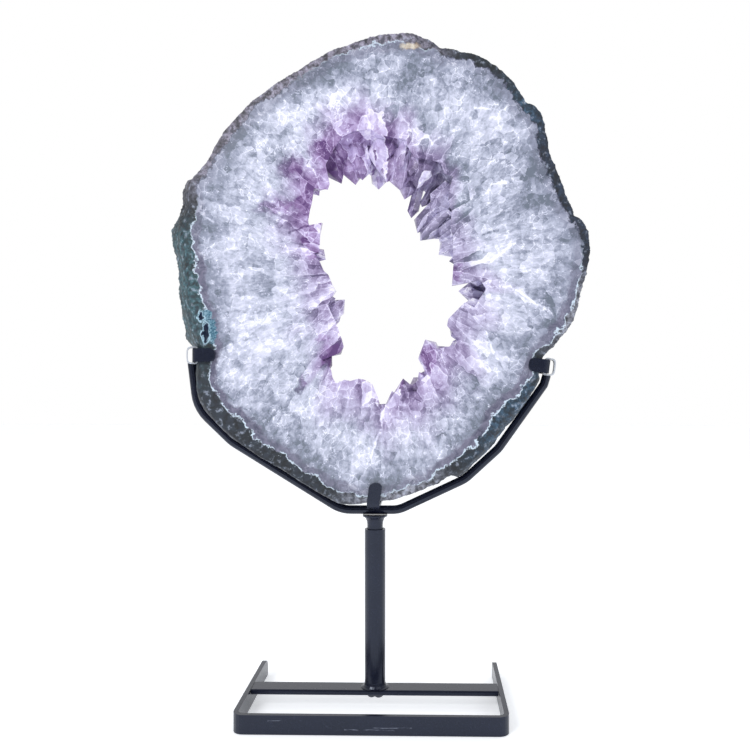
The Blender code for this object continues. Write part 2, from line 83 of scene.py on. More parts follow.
# Small breaks in the rim: place in mm and depth in mm, and how far they reach
RIM_CHIPS = (((42, 413.3), 1.6), ((95.2, 380), 1.8), ((125.4, 310), 1.6), ((-89, 364), 1.2))
CHIP_REACH = 2.6
# Pockets in the rim: middle and half sizes in mm, and how deep they go. POCKET_WALL is their pale wall
POCKETS = (((-104.9, 237.7), (2.0, 6.4), 3.0), ((-108, 247.7), (1.5, 3.0), 2.2))
POCKET_WALL = 0.9
# Agate round the pockets and a rusty spot in the top rim: middle and half sizes in mm
AGATE_EYES = (((-100.8, 238.6), (3.2, 7.6)), ((-104.5, 248), (3.5, 3.5)))
OCHRE_SPOT = ((22.7, 415.2), (5.5, 1.8))
# The front bar's face is at depths beyond these in mm. Rubbed marks on it in mm
FRONT_BAR_Y = (-40.0, -46.0)
SCRATCHES = (((-15, 3.4), (-7, 3.3)), ((-4, 3.4), (14, 3.2)), ((2, 4.4), (24, 4.7)), ((-60, 8), (-52, 8.4)))

# Inner edge of the polished front face in mm, clockwise from the upper left, one corner per crystal face
FRONT_EDGE = (
    (-37, 327), (-28.3, 326), (-27, 330), (-29.5, 342), (-23.3, 353.5), (-19, 359), (-12, 362.5),
    (-3, 364), (4.7, 359.5), (14, 357.3), (19.6, 357.3), (22, 351.5), (25.2, 346.5), (34, 344.5),
    (41.3, 343), (43.8, 335.7), (49.4, 333.8), (47.5, 328), (46.3, 319), (48.2, 313), (47.5, 305),
    (49.4, 298), (49.4, 280), (48.5, 266.2), (66, 270), (69.8, 264.3), (62.4, 253.2), (56.8, 256.3),
    (46.6, 246), (45.6, 241.4), (52.8, 233), (50.6, 229.6), (39.5, 227.5), (38.2, 221.6), (37, 215.4),
    (29.5, 208), (26.4, 201), (21.5, 200.5), (17, 202.7), (14.6, 202), (11, 197), (8.8, 193.3),
    (3.8, 192.7), (3, 197), (-0.5, 205.5), (-5.5, 208.3), (-9.8, 209), (-14.8, 207.6), (-18.3, 208.3),
    (-23.3, 206), (-25.5, 210), (-26.3, 214.2), (-28.3, 218.5), (-31.6, 220.5), (-27.3, 222.3),
    (-21.2, 224.8), (-18.3, 229), (-19.6, 234), (-22.4, 243), (-25.5, 249.2), (-28, 254.6),
    (-25.8, 259), (-24, 264), (-28, 273.7), (-31, 276.3), (-33.3, 281.6), (-36.7, 286.7),
    (-33.3, 287.6), (-32.4, 305.7), (-39.6, 304.3), (-40.4, 306), (-38.3, 317.5),
)
FRONT_DEPTH = 8.0
# Crystals that show behind the front edge: tip (x, depth behind the front face, z) and thickness in mm
SHOWN_CRYSTALS = (
    ((-35.5, 12, 325.5), 7), ((-22.2, 12, 332), 10), ((-13.5, 14, 332.5), 9), ((-7.2, 12, 335.8), 9),
    ((-3.5, 20, 340), 7), ((2.5, 23, 332), 6), ((9.3, 12, 333), 12), ((16.7, 10, 327.5), 11),
    ((19, 16, 323.6), 9), ((23.2, 24, 313.4), 6), ((26, 17, 303.3), 9), ((29, 18, 297.4), 9),
    ((40.3, 14, 289), 9), ((47.5, 10, 282), 8), ((56.5, 7, 256.5), 7), ((45.9, 7, 244.6), 9),
    ((30.5, 2.5, 232.4), 11), ((16.8, 7, 208.7), 10), ((11, 9, 200.9), 8), ((-17.8, 7, 258), 8),
    ((-21.4, 11, 250.8), 5), ((-30.4, 8, 285.4), 7), ((-25, 8, 207), 6), ((-41, 7, 308), 9),
)
# Rows of crystals that line the hole: depth from 0 to 1, how many go round and thickness in mm
CRYSTAL_ROWS = ((0.45, 20, 20), (0.86, 18, 20))
# How far into the hole those rows reach, in mm
INNER_REACH = (
    (-3, 342), (3, 335), (12, 337), (22, 326), (26, 312), (34, 300), (50, 282), (52, 268), (64, 255),
    (49, 243), (54, 236), (34, 231), (30, 216), (17, 207), (6, 192), (-9, 206), (-26, 204), (-34, 221),
    (-23, 230), (-27, 249), (-22, 259), (-29, 267), (-35, 280), (-34, 288), (-39, 292), (-37, 310),
    (-45, 309), (-40, 327), (-31, 336), (-15, 339),
)
SMALL_CRYSTALS = 30
# In mm: how far inside the hollow's wall crystals start, how long they are at most, and shown ones' length
CRYSTAL_ROOT = 1
LONGEST_LARGE = 24
LONGEST_SMALL = 22
SHOWN_LENGTH = 26
SHOWN_WIDENING = 1.4
# In mm: gap between crust and slab, the crust's wall, and how far it passes the back before it is cut
WALL_GAP = 0.03
CRUST_WALL = 4.5
CRUST_OVER = 1.5
# Rows of the plug's faces, and the share of its radius where they start
PLUG_ROWS = 9
PLUG_START = 0.3
# Faces of the crust are polished quartz within so many mm of the slab's faces and of the hollow's wall
FLUSH = 0.05
WALL_DEPTH = 0.6
SEED = 23

# Camera that matches the photograph's view
CAMERA_PLACE = (0.0325, -0.515, 0.2095)
CAMERA_YAW = math.radians(1.2)
CAMERA_LENS = 38.4
CAMERA_SHIFT = (-0.0453, 0.0033)

# Light that surfaces get from the camera's side, against 1 from behind
WORLD_FRONT = 0.24
# Lamps: name, place and diameter in metres, and power in watts. Both point at LAMP_AIM
LAMPS = (("key", (-0.7, -1.1, 1.0), 0.6, 11), ("fill", (0.9, -1.0, 0.7), 0.7, 4))
LAMP_AIM = (0, 0, 0.25)
FLOOR_SIZE = 6
FLOOR_DROP = 0.0003
FLOOR_COLOR = (0.92, 0.94, 0.97, 1)
FLOOR_GLOW = 0.42


def srgb(red, green, blue, gain=1.0):
    """Linear colour from display values of 0 to 255."""
    linear = []
    for value in (red, green, blue):
        v = value / 255
        linear.append(gain * (v / 12.92 if v <= 0.04045 else ((v + 0.055) / 1.055) ** 2.4))
    return (*linear, 1.0)


class Graph:
    """Short calls that build a material's or a world's nodes, from numbers and sockets alike."""

    def __init__(self, name, group=bpy.data.materials, shader="Principled BSDF"):
        self.owner = group.new(name)
        self.owner.use_nodes = True
        self.tree = self.owner.node_tree
        self.shader = self.tree.nodes[shader]

    def feed(self, socket, value):
        if isinstance(value, bpy.types.NodeSocket):
            self.tree.links.new(value, socket)
        else:
            socket.default_value = value

    def add(self, kind, inputs=(), **settings):
        node = self.tree.nodes.new(f"ShaderNode{kind}")
        for key, value in settings.items():
            setattr(node, key, value)
        for key, value in dict(inputs).items():
            self.feed(node.inputs[key], value)
        return node

    def math(self, operation, a, b=0.0, clamp=False):
        return self.add("Math", {0: a, 1: b}, operation=operation, use_clamp=clamp).outputs[0]

    def plus(self, total, *others):
        """Sum, from left to right."""
        for other in others:
            total = self.math("ADD", total, other)
        return total

    def times(self, product, *others):
        """Product, from left to right."""
        for other in others:
            product = self.math("MULTIPLY", product, other)
        return product

    def minus(self, a, b):
        return self.math("SUBTRACT", a, b)

    def vector(self, operation, a, b=(0, 0, 0), c=(0, 0, 0), scale=1.0):
        return self.add("VectorMath", {0: a, 1: b, 2: c, 3: scale}, operation=operation).outputs[0]

    def measure(self, operation, a, b=(0, 0, 0)):
        """A number made of vectors, such as a length."""
        return self.add("VectorMath", {0: a, 1: b}, operation=operation).outputs["Value"]

    def join(self, x, y, z):
        return self.add("CombineXYZ", {0: x, 1: y, 2: z}).outputs[0]

    def split(self, vector):
        return self.add("SeparateXYZ", {0: vector}).outputs

    def step(self, value, low, high, to_low=0.0, to_high=1.0):
        """A smooth step from to_low at low to to_high at high."""
        inputs = {"Value": value, "From Min": low, "From Max": high, "To Min": to_low, "To Max": to_high}
        return self.add("MapRange", inputs, interpolation_type="SMOOTHSTEP").outputs[0]

    def noise(self, vector, size, detail=3.0, rough=0.55, warp=0.0):
        """Cloudy noise from 0 to 1 whose features are about size mm."""
        inputs = {"Vector": vector, "Scale": 1 / size, "Detail": detail}
        inputs.update({"Roughness": rough, "Distortion": warp})
        return self.add("TexNoise", inputs).outputs[0]

    def swirl(self, vector, size):
        """Three noises in one, from 0 to 1, for drift."""
        return self.add("TexNoise", {"Vector": vector, "Scale": 1 / size}).outputs["Color"]

    def drift(self, swirl, reach):
        """A shift of up to reach mm all ways, by a swirl."""
        return self.vector("SCALE", self.vector("SUBTRACT", swirl, (0.5, 0.5, 0.5)), scale=reach)

    def cells(self, vector, size, feature="F1"):
        """Distance from a cell's middle or edge, for cells of about size mm."""
        inputs = {"Vector": vector, "Scale": 1 / size}
        return self.add("TexVoronoi", inputs, feature=feature).outputs["Distance"]

    def mix(self, factor, a, b):
        """Colour a at 0 and b at 1."""
        node = self.add("Mix", data_type="RGBA")
        self.feed(node.inputs[0], factor)
        self.feed(node.inputs[6], a)
        self.feed(node.inputs[7], b)
        return node.outputs[2]

    def colors(self, value, stops):
        """Colour from a ramp of (place, colour) stops."""
        node = self.add("ValToRGB", {0: value})
        ramp = node.color_ramp
        for end, (where, color) in ((0, stops[0]), (1, stops[-1])):
            ramp.elements[end].position = where
            ramp.elements[end].color = color
        for where, color in stops[1:-1]:
            ramp.elements.new(where).color = color
        return node.outputs[0]

    def curve(self, value, heights):
        """Reads heights, evenly spaced over 0 to 1, at value. They stay between 0 and 1."""
        node = self.add("FloatCurve", {"Value": value})
        points = node.mapping.curves[0].points
        last = len(heights) - 1
        points[0].location = (0, heights[0])
        points[1].location = (1, heights[-1])
        for k in range(1, last):
            points.new(k / last, heights[k])
        for point in points:
            point.handle_type = "VECTOR"
        node.mapping.update()
        return node.outputs[0]

    def bump(self, height, distance, strength=1.0):
        """Gives the shader a relief of up to distance mm."""
        inputs = {"Height": height, "Distance": distance * MM, "Strength": strength}
        self.feed(self.shader.inputs["Normal"], self.add("Bump", inputs).outputs[0])

    def finish(self, **inputs):
        """Sets the shader's inputs, with _ for a space in their names."""
        for key, value in inputs.items():
            self.feed(self.shader.inputs[key.replace("_", " ")], value)
        return self.owner

    def position(self):
        """Place on the object in mm."""
        return self.vector("SCALE", self.add("TexCoord").outputs["Object"], scale=1 / MM)


def around(count):
    return np.linspace(-math.pi, math.pi, count, endpoint=False)


def mesh_tree(obj):
    mesh = obj.data
    return BVHTree.FromPolygons([v.co for v in mesh.vertices], [p.vertices for p in mesh.polygons])


SLAB_TREE = mesh_tree(NODES["agate_slice"])


def slab_radii(angles, y, of_skin):
    """Distance in mm from the slice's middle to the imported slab's skin or hollow, in the plane at y."""
    y = min(max(y, FRONT_Y + 0.02 * MM), BACK_Y - 0.02 * MM)
    middle = Vector((CENTER[0] * MM, y, CENTER[1] * MM))
    found = []
    for angle in angles:
        outward = Vector((math.cos(angle), 0, math.sin(angle)))
        if of_skin:
            hit = SLAB_TREE.ray_cast(middle + outward * SPAN * MM, -outward)[0]
        else:
            hit = SLAB_TREE.ray_cast(middle, outward)[0]
        found.append((hit - middle).length / MM)
    return np.array(found)


def polygon_radii(outline, angles):
    """Distance in mm from the slice's middle to a closed outline of straight sides."""
    offset = np.array(outline, float) - np.array(CENTER)
    angle = np.arctan2(offset[:, 1], offset[:, 0])
    return np.interp(angles, angle, np.hypot(offset[:, 0], offset[:, 1]), period=2 * math.pi)


def place(angle, radius, y):
    """The point at an angle and a radius in mm from the slice's middle, at depth y in metres."""
    x = (CENTER[0] + radius * math.cos(angle)) * MM
    z = (CENTER[1] + radius * math.sin(angle)) * MM
    return Vector((x, y, z))


def ring(angles, radii, y):
    return [place(a, r, y) for a, r in zip(angles, radii)]


def new_object(name, data):
    obj = bpy.data.objects.new(name, data)
    bpy.context.scene.collection.objects.link(obj)
    return obj


def new_piece(name, mesh, materials, body, nodes):
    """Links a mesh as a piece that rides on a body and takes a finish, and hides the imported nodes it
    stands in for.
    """
    mesh.materials.clear()
    for mat in materials:
        mesh.materials.append(mat)
    obj = new_object(name, mesh)
    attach(obj, body)
    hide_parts(*nodes)
    return obj


def mesh_from(bm, name):
    """Mesh from a bmesh, with its faces turned outward."""
    bmesh.ops.recalc_face_normals(bm, faces=bm.faces)
    mesh = bpy.data.meshes.new(name)
    bm.to_mesh(mesh)
    bm.free()
    return mesh


def evaluated_mesh(obj):
    """Mesh of an object as its curve settings and modifiers make it."""
    bpy.context.view_layer.update()
    evaluated = obj.evaluated_get(bpy.context.evaluated_depsgraph_get())
    return bpy.data.meshes.new_from_object(evaluated)


# Colours of the stone in display values
STONE_COLORS = {
    "moss": (46, 78, 86), "slate": (30, 38, 47), "navy": (26, 38, 56), "brown": (118, 114, 130),
    "teal": (42, 66, 86), "pale": (126, 128, 140), "black": (14, 18, 24), "pit": (16, 24, 32),
    "shadow": (26, 30, 42), "stain": (30, 38, 48), "dust": (142, 150, 168), "lump highlight": (168, 190, 206),
    "dark mauve": (70, 70, 92), "mauve": (118, 115, 138), "dark line": (44, 46, 68),
    "pale line": (206, 222, 238), "deep agate": (36, 70, 92), "agate": (78, 120, 142),
    "light agate": (146, 180, 198), "pocket": (18, 34, 62), "pocket wall": (166, 198, 216),
    "ochre": (176, 152, 124), "cream": (232, 224, 208), "deep green": (22, 44, 58), "green": (50, 84, 86),
    "ice": (112, 140, 158), "blue": (58, 80, 112), "crust": (176, 202, 224), "earth": (98, 84, 92),
}
STONE_GAIN = 0.92
# Rim of the slice at angles in degrees, anticlockwise from the right: width of the dark rind in mm,
# strength of the line inside it, and the rind's tint
RIM_LOOK = (
    (-180, 5.0, 1.0, "moss"), (-168, 7.0, 0.9, "moss"), (-145, 8.0, 1, "slate"), (-132, 9.5, 1, "slate"),
    (-118, 7.0, 0.8, "slate"), (-104, 6.0, 0.8, "slate"), (-93, 4.0, 0.5, "pale"), (-82, 4.0, 0.6, "pale"),
    (-70, 5.5, 1.0, "slate"), (-56, 6.0, 1.0, "teal"), (-40, 5.0, 1.0, "teal"), (-28, 4.5, 0.6, "slate"),
    (-17, 3.5, 0.9, "pale"), (-6, 2.6, 0.8, "pale"), (3, 3.5, 0.3, "navy"), (12, 5.0, 0.2, "navy"),
    (25, 5.6, 0.1, "navy"), (38, 6.4, 0.1, "navy"), (50, 5.8, 0.1, "teal"), (60, 5.0, 0.1, "slate"),
    (70, 5.0, 0.1, "slate"), (82, 5.5, 0.4, "brown"), (95, 5.0, 0.4, "brown"), (130, 5.4, 0.1, "brown"),
    (148, 4.0, 0.1, "brown"), (162, 3.4, 0.3, "slate"), (172, 3.6, 0.9, "moss"), (180, 5.0, 1.0, "moss"),
)
# How far in mm the purple reaches from the crystals into the polished face, and how strong it is, by angle
PURPLE_LOOK = (
    (-180, 24, 0.62), (-150, 26, 0.62), (-130, 22, 0.7), (-110, 26, 0.72), (-90, 30, 0.66), (-70, 30, 0.74),
    (-50, 30, 0.66), (-30, 26, 0.5), (-10, 20, 0.5), (10, 18, 0.5), (30, 14, 0.4), (50, 12, 0.45),
    (70, 16, 0.62), (90, 22, 0.84), (110, 26, 0.92), (130, 30, 0.95), (150, 31, 0.88), (165, 28, 0.72),
    (180, 24, 0.62),
)
# Tones of clear and milky quartz from dark to bright, plain and tinted purple
QUARTZ_TONES = (
    (0.0, (112, 122, 136)), (0.25, (151, 158, 178)), (0.5, (189, 195, 214)), (0.75, (221, 224, 243)),
    (1.0, (250, 252, 255)),
)
PURPLE_TONES = (
    (0.0, (96, 68, 120)), (0.25, (138, 112, 160)), (0.5, (176, 156, 202)), (0.75, (208, 196, 235)),
    (1.0, (242, 236, 255)),
)
# Patterns of the polished face: size in mm, octaves, roughness and, where given, warp
PATTERNS = {
    "clouds": (15, 4, 0.6), "mottle": (4.6, 5, 0.66, 0.9), "fibre": (3.4, 4, 0.64), "grain": (1.5, 3, 0.7),
    "fine": (0.9, 2, 0.7), "patch": (9, 4, 0.62, 1.2), "strokes": (5, 3, 0.6, 0.5), "stroke gaps": (5.5, 3),
    "glint places": (4, 2),
}
# What each pattern adds to the tone of the polished face. Strokes and glints are painted highlights
TONE_GAINS = {
    "clouds": 0.62, "patch": 0.12, "mottle": 0.44, "fibre": 0.66, "grain": 0.64, "fine": 0.22, "chips": 0.3,
    "columns": 0.3, "clear columns": 0.5, "quiet zone": -0.27, "strokes": 0.46, "chip rims": 0.32,
    "painted_glint": 0.5, "column edges": 0.24, "pale lines": 0.42, "dark lines": -0.4, "purple spots": -0.13,
    "purple": -0.1,
}
TONE_BASE = 0.54
# Crystal columns and smaller chips in the face in mm, how far their outlines wander, and how far patches do
COLUMN_SIZE = 9.5
CHIP_SIZE = 5.5
SWIRL_SIZE = 6
# How steeply painted shade slopes across each crystal face, and how much the faces' own tones differ
FACET_SHADE_SLOPE = 1.3
FACET_CONTRAST = 0.55
FACET_DRIFT = 3.6
PATCH_DRIFT = 14.0
LINE_DRIFT = 4.0
# Zones of the polished face in mm, where each starts and is full: from the rim, or from the hole
QUIET_RIM = (26.0, 11.0)
GRAIN_RIM, GRAIN_HOLE = (8.0, 17.0), (12.0, 26.0)
CLEAR_HOLE = (24.0, 6.0)
# Depths, from 0 at the front to 1 at the back, where the front's own marks end and are full
FRONT_ONLY = (0.5, 0.1)
# Patches of the front face in mm: middle, half sizes, and how much brighter they are
PATCHES = (
    ((-70, 235), (26, 12), 0.16), ((-5, 162), (9, 17), 0.16), ((-24, 166), (10, 12), -0.14),
    ((78, 281), (14, 12), 0.2), ((84, 254), (14, 12), 0.14), ((70, 222), (9, 16), 0.18),
    ((-30, 375), (40, 9), 0.12), ((78, 350), (18, 22), 0.08), ((-78, 300), (22, 30), 0.1),
    ((-77, 357), (20, 12), -0.04), ((21, 391), (9, 11), -0.22), ((-15, 400), (30, 8), -0.06),
    ((62, 392), (22, 9), -0.1), ((66, 190), (26, 20), -0.14), ((-7, 191), (10, 10), 0.12),
    ((66, 285), (9, 8), 0.16), ((90, 330), (16, 22), -0.16), ((96, 300), (12, 20), -0.08),
    ((10, 146), (14, 12), -0.12), ((-45, 206), (2.6, 5.5), -0.2), ((-52, 341), (8, 7), -0.25),
    ((-60, 160), (20, 12), -0.06),
)
# Deeper purple places of the front face in mm: middle and half sizes
PURPLE_SPOTS = (
    ((34, 220), (4.5, 8)), ((35, 222), (4, 7)), ((51.5, 274), (3.5, 5)), ((-32, 234), (4, 3)),
    ((-38, 293), (5, 8)), ((-23, 222), (8, 7)), ((-45, 206), (2.2, 5)), ((-52, 341), (7, 6)),
    ((-40, 318), (10, 5)), ((-32, 350), (9, 7)), ((12, 205), (6, 5)), ((-62, 316), (12, 4)),
)
# Pale and dark lines in the front face, through points in mm, that outline crystals and healed cracks
PALE_LINES = (
    ((66.7, 270.6), (71.7, 281.2), (87.8, 293)), ((70.9, 265.4), (84.7, 266), (93.3, 257.2)),
    ((88.4, 263.8), (111.8, 248.3)), ((69.8, 237.1), (77.3, 219.7)),
    ((6, 193), (4.4, 175.6), (-4, 155.8)), ((33.3, 359.7), (36.4, 354.5), (49.7, 363.5)),
    ((49.4, 348.3), (41.1, 344), (43.5, 336.5)), ((59.9, 368.1), (62.4, 376.5), (72.9, 375.8)),
    ((69.5, 324), (73.3, 329.3), (83.8, 330.2)), ((-107.8, 312.2), (-99.9, 306.7)),
)
DARK_LINES = (
    ((-52.9, 299.8), (-41.4, 303.6)), ((-24.3, 353), (-17.7, 343.5)), ((67.7, 298), (77.3, 300.8)),
)


def stone(name):
    return srgb(*STONE_COLORS[name], STONE_GAIN)


def stone_stops(*stops):
    """Ramp stops from (place, name of a stone colour) pairs."""
    return [(where, stone(name)) for where, name in stops]


def tones(stops):
    return [(where, srgb(*color, STONE_GAIN)) for where, color in stops]


def slice_map(g):
    """Sockets that say where a point of the slice is: in mm, by angle, and from its rim and its hollow."""
    rings = np.append(around(180), math.pi)
    degrees = np.degrees(rings)
    point = g.position()
    x, y, z = g.split(point)
    dx = g.minus(x, CENTER[0])
    dz = g.minus(z, CENTER[1])
    radius = g.math("SQRT", g.plus(g.times(dx, dx), g.times(dz, dz)))
    turn = g.plus(g.math("DIVIDE", g.math("ARCTAN2", dz, dx), 2 * math.pi), 0.5)
    depth = g.math("DIVIDE", g.minus(y, FRONT_Y / MM), THICK / MM, clamp=True)
    sides = []
    for front, back in (
        (slab_radii(rings, FRONT_Y, True), slab_radii(rings, BACK_Y, True)),
        (polygon_radii(FRONT_EDGE, rings), slab_radii(rings, BACK_Y, False)),
    ):
        low, high = g.curve(turn, front / SPAN), g.curve(turn, back / SPAN)
        sides.append(g.times(g.plus(low, g.times(g.minus(high, low), depth)), SPAN))
    skin, hollow = sides

    def by_angle(rows, column, most):
        """A column of a table of angles, read at the point's angle. The values run from 0 to most."""
        values = np.interp(degrees, [row[0] for row in rows], [row[column] for row in rows])
        return g.times(g.curve(turn, values / most), most)

    tints = [(angle / 360 + 0.5, stone(tint)) for angle, _, _, tint in RIM_LOOK]
    return {
        "point": point, "depth": depth, "radius": radius, "y": y,
        "cos": g.math("DIVIDE", dx, radius), "sin": g.math("DIVIDE", dz, radius),
        "width": by_angle(RIM_LOOK, 1, 20), "line": by_angle(RIM_LOOK, 2, 1),
        "reach": by_angle(PURPLE_LOOK, 1, 40), "purple": by_angle(PURPLE_LOOK, 2, 1),
        "rim": g.minus(skin, radius), "inner": g.minus(radius, hollow),
        "tint": g.colors(turn, tints),
    }


def stretched(g, m, along):
    """The point with steps along the radius made shorter, so that patterns on it run outward."""
    return g.join(g.times(m["cos"], 80.0),
                  g.plus(g.times(m["radius"], along), g.times(m["y"], 0.6)),
                  g.times(m["sin"], 80.0))


def spot(g, point, middle, sizes, soft=0.4):
    """1 inside an oval at middle in the XZ plane, in mm, and less the farther out."""
    scale = (1 / sizes[0], 0, 1 / sizes[1])
    shift = (-middle[0] / sizes[0], 0, -middle[1] / sizes[1])
    away = g.vector("MULTIPLY_ADD", point, scale, shift)
    return g.step(g.measure("LENGTH", away), 1 + soft, 1 - soft)


def lines(g, point, routes, width):
    """1 on lines through the points of each route in the XZ plane, in mm, and 0 beyond their width."""
    flat = g.vector("MULTIPLY", point, (1, 0, 1))
    nearest = 1000.0
    for route in routes:
        for (ax, az), (bx, bz) in zip(route, route[1:]):
            along = Vector((bx - ax, 0, bz - az))
            unit = along / along.length_squared
            share = g.measure("DOT_PRODUCT", flat, unit)
            share = g.math("SUBTRACT", share, unit.dot((ax, 0, az)), clamp=True)
            foot = g.vector("MULTIPLY_ADD", share, along, (ax, 0, az))
            nearest = g.math("MINIMUM", nearest, g.measure("DISTANCE", flat, foot))
    return g.step(nearest, width, 0.0)


def facets(g, point, size):
    """Crystal faces seen through the polish: painted shade that slopes across each cell as across a lit
    face, the cell's own tone, and its edge.
    """
    cell = g.add("TexVoronoi", {"Vector": point, "Scale": 1 / size}, feature="F1")
    local = g.vector("SCALE", g.vector("SUBTRACT", point, cell.outputs["Position"]), scale=1 / size)
    slope = g.vector("SUBTRACT", cell.outputs["Color"], (0.5, 0.5, 0.5))
    lean = g.measure("DOT_PRODUCT", local, slope)
    own = g.minus(g.split(cell.outputs["Color"])[0], 0.5)
    tone = g.plus(g.times(lean, FACET_SHADE_SLOPE), g.times(own, FACET_CONTRAST))
    return tone, g.step(g.cells(point, size, "DISTANCE_TO_EDGE"), 0.045, 0.0)


def centered(g, value, gain):
    return g.times(g.minus(value, 0.5), gain)


def polished_quartz():
    """Cut and polished face: purple at the hole, milky streaks and mottles, and a dark rind at the rim."""
    g = Graph("polished_quartz")
    m = slice_map(g)
    point = m["point"]
    gains = TONE_GAINS

    def pattern(name, where=point):
        return g.noise(where, *PATTERNS[name])

    def lift(name, *values):
        """The tone with what the named part adds."""
        return g.plus(tone, g.times(*values, gains[name]))

    clouds, mottle = pattern("clouds"), pattern("mottle")
    fibre = pattern("fibre", stretched(g, m, 0.22))
    grain = pattern("grain", stretched(g, m, 0.42))
    fine, patch = pattern("fine"), g.step(pattern("patch"), 0.44, 0.6)
    swirl = g.swirl(point, SWIRL_SIZE)
    drift = g.drift(swirl, FACET_DRIFT)
    # Crystal columns and chips, with painted shade that slopes across each face
    columns, column_edge = facets(g, g.vector("ADD", stretched(g, m, 0.42), drift), COLUMN_SIZE)
    chips, chip_edge = facets(g, g.vector("ADD", point, drift), CHIP_SIZE)
    rim = g.plus(m["rim"], centered(g, clouds, 24.0))
    inner = g.plus(m["inner"], centered(g, clouds, 22.0))
    # Quiet translucent zone inside the rind, then grains, then milky fibres, then clear columns at the hole
    quiet = g.step(rim, *QUIET_RIM)
    grainy = g.times(g.step(rim, *GRAIN_RIM), g.step(inner, *GRAIN_HOLE))
    clear = g.step(inner, *CLEAR_HOLE)
    tone = g.plus(TONE_BASE, centered(g, clouds, gains["clouds"]), centered(g, patch, gains["patch"]))
    busy = g.minus(1.0, g.times(quiet, 0.6))
    detail = g.plus(centered(g, mottle, gains["mottle"]), centered(g, fibre, gains["fibre"]))
    tone = g.plus(tone, g.times(detail, busy))
    tone = g.plus(tone, g.times(centered(g, grain, gains["grain"]), g.plus(grainy, 0.2)))
    tone = g.plus(tone, centered(g, fine, gains["fine"]))
    tone = lift("chips", chips)
    tone = g.plus(tone, g.times(columns, g.plus(g.times(clear, gains["clear columns"]), gains["columns"])))
    tone = lift("quiet zone", quiet)
    on_front = g.step(m["depth"], *FRONT_ONLY)
    ragged = g.vector("ADD", point, g.drift(swirl, PATCH_DRIFT))
    for middle, sizes, gain in PATCHES:
        tone = g.plus(tone, g.times(spot(g, ragged, middle, sizes, 0.6), gain, on_front))
    # Painted highlights: bright strokes where healed cracks catch the light, and painted glints
    bend = g.math("ABSOLUTE", g.minus(pattern("strokes", stretched(g, m, 0.6)), 0.5))
    strokes = g.times(g.step(bend, 0.02, 0.0), g.step(pattern("stroke gaps"), 0.52, 0.62))
    tone = lift("strokes", strokes)
    tone = lift("chip rims", chip_edge, g.step(clouds, 0.5, 0.58))
    painted_glint = g.times(g.step(g.cells(point, 1.5), 0.34, 0.12), g.step(pattern("glint places"), 0.57, 0.68))
    tone = lift("painted_glint", painted_glint)
    tone = lift("column edges", column_edge, clear)
    jitter = g.vector("ADD", point, g.drift(swirl, LINE_DRIFT))
    pale = g.times(lines(g, jitter, PALE_LINES, 1.3), g.step(mottle, 0.36, 0.52))
    dark = lines(g, jitter, DARK_LINES, 1.2)
    tone = lift("pale lines", pale, on_front)
    tone = lift("dark lines", dark, on_front)
    # Purple fades outward, more slowly in some columns than in others
    reach = g.plus(g.times(m["reach"], 1.25), g.times(columns, 11.0))
    purple = g.times(g.step(g.math("DIVIDE", inner, reach), 1.1, 0.05), m["purple"])
    for middle, sizes in PURPLE_SPOTS:
        there = g.times(spot(g, ragged, middle, sizes, 0.35), on_front)
        purple = g.plus(purple, g.times(there, 0.34))
        tone = lift("purple spots", there)
    purple = g.math("MINIMUM", g.plus(purple, 0.06), 1.0)
    tone = lift("purple", purple)
    body = g.mix(purple, g.colors(tone, tones(QUARTZ_TONES)), g.colors(tone, tones(PURPLE_TONES)))
    return finish_rim(g, m, body, fine, mottle)


def finish_rim(g, m, body, fine, mottle):
    """Adds the rim to a polished face, then gloss and relief."""
    point = m["point"]
    wave = centered(g, g.noise(point, 8, 4, 0.6), 12.0)
    ripple = centered(g, g.noise(point, 1.9, 2), 3.2)
    inset = g.minus(g.plus(m["rim"], wave, ripple), m["width"])
    band = g.times(g.step(inset, 7.5, 3.6), g.plus(g.times(m["line"], 0.75), 0.15))
    body = g.mix(band, body, g.colors(mottle, stone_stops((0.35, "dark mauve"), (0.62, "mauve"))))
    rough = g.noise(point, 3.6, 4, 0.62)
    rind = g.mix(g.step(rough, 0.56, 0.36, 0.0, 0.8), m["tint"], stone("shadow"))
    rind = g.mix(g.times(g.step(rough, 0.54, 0.66), 0.5), rind, stone("dust"))
    rind = g.vector("SCALE", rind, scale=g.step(mottle, 0.38, 0.62, 0.55, 1.75))
    body = g.mix(g.step(inset, 0.45, -0.3), body, rind)
    # The line between rind and quartz is pale, or dark where it has little strength
    ridge = g.times(g.step(inset, -0.55, 0.1), g.step(inset, 1.05, 0.45))
    broken = g.step(g.noise(point, 4.5, 3), 0.36, 0.5)
    edge = g.colors(m["line"], stone_stops((0.2, "dark line"), (0.4, "pale line")))
    body = g.mix(g.times(ridge, broken, g.plus(g.times(m["line"], 0.4), 0.6)), body, edge)
    on_front = g.step(m["depth"], *FRONT_ONLY)
    ragged = g.vector("ADD", point, g.drift(g.swirl(point, 2.4), 5.0))

    def paint(color, middle, sizes, soft, share=on_front):
        return g.mix(g.times(spot(g, ragged, middle, sizes, soft), share), body, color)

    # Agate with dark pockets in the left rim, their insides painted dark as shade inside pale walls, and a
    # rusty place in the top rim
    agate = g.colors(fine, stone_stops((0.3, "deep agate"), (0.5, "agate"), (0.68, "light agate")))
    for middle, sizes in AGATE_EYES:
        body = paint(agate, middle, sizes, 0.15)
    for middle, sizes, _ in POCKETS:
        wall = (sizes[0] + POCKET_WALL, sizes[1] + POCKET_WALL)
        body = paint(stone("pocket wall"), middle, wall, 0.12)
        body = paint(stone("pocket"), middle, sizes, 0.12)
    ochre = g.colors(mottle, stone_stops((0.4, "ochre"), (0.62, "cream")))
    body = paint(ochre, *OCHRE_SPOT, 0.5, g.times(on_front, 0.8))
    g.bump(rough, 0.06)
    dull = g.plus(g.times(mottle, 0.2), g.times(g.step(inset, 0.6, -0.4), 0.3))
    return g.finish(Base_Color=body, Roughness=g.plus(dull, 0.14))


